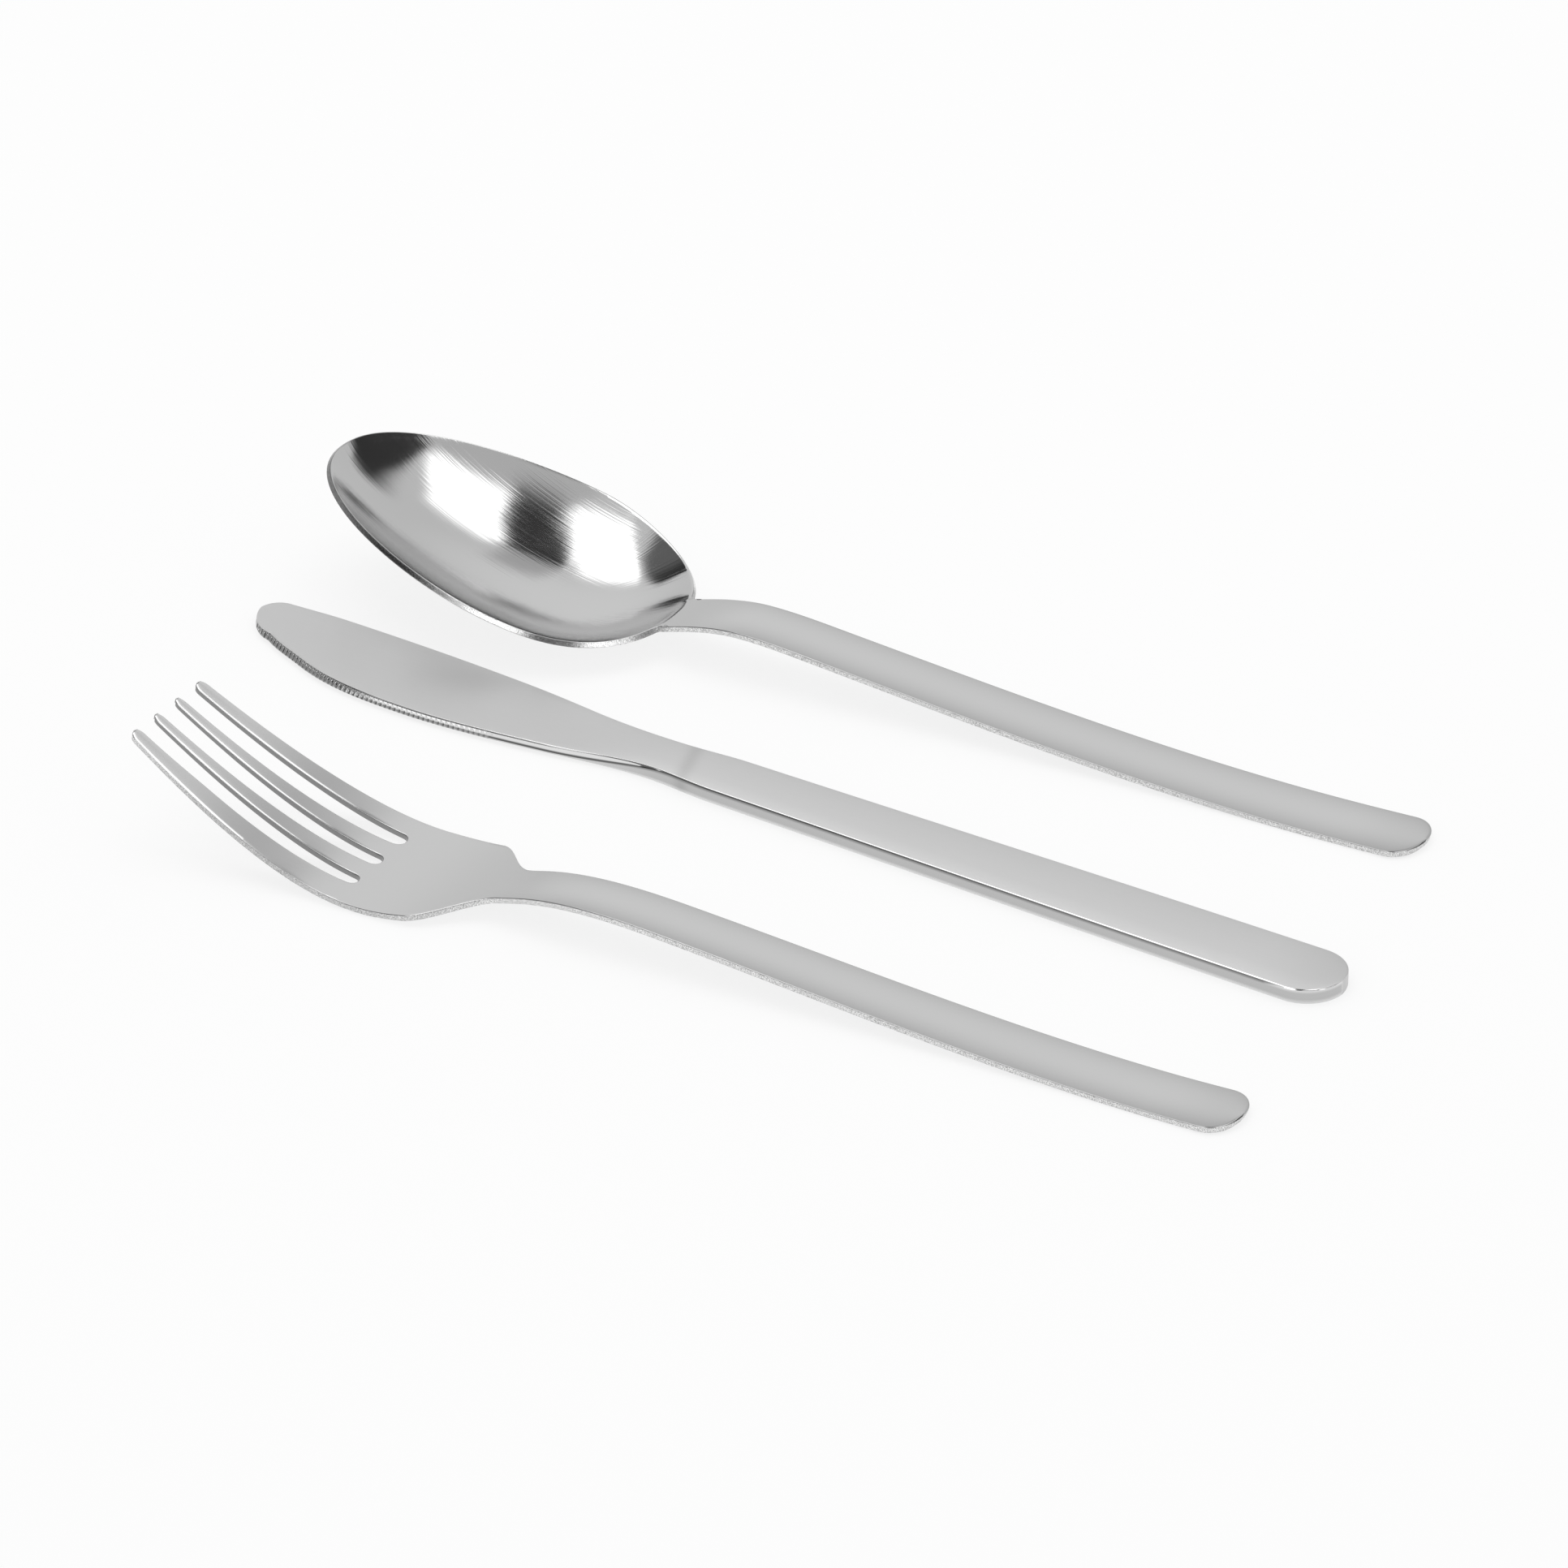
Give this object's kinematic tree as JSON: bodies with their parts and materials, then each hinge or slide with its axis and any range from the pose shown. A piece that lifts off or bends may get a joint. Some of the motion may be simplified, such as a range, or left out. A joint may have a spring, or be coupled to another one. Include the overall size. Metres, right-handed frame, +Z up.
{
  "type": "cutlery set",
  "caption": "Table cutlery in satin stainless steel: a spoon, a serrated knife and a fork laid side by side",
  "frame": {"origin": "middle of the set's bounding box in plan, on the table plane", "axes": "+X from the tips towards the handle ends, +Y from the fork towards the spoon, +Z up"},
  "size_m": [0.2242, 0.1288, 0.0216],
  "materials": {
    "spoon_steel": "satin, brushed along its length",
    "knife_steel": "satin, with a ground and toothed edge",
    "fork_steel": "satin, brushed along its length"
  },
  "bodies": {
    "root": {"spoon": "spoon_steel", "knife": "knife_steel", "fork": "fork_steel"}
  },
  "joints": []
}
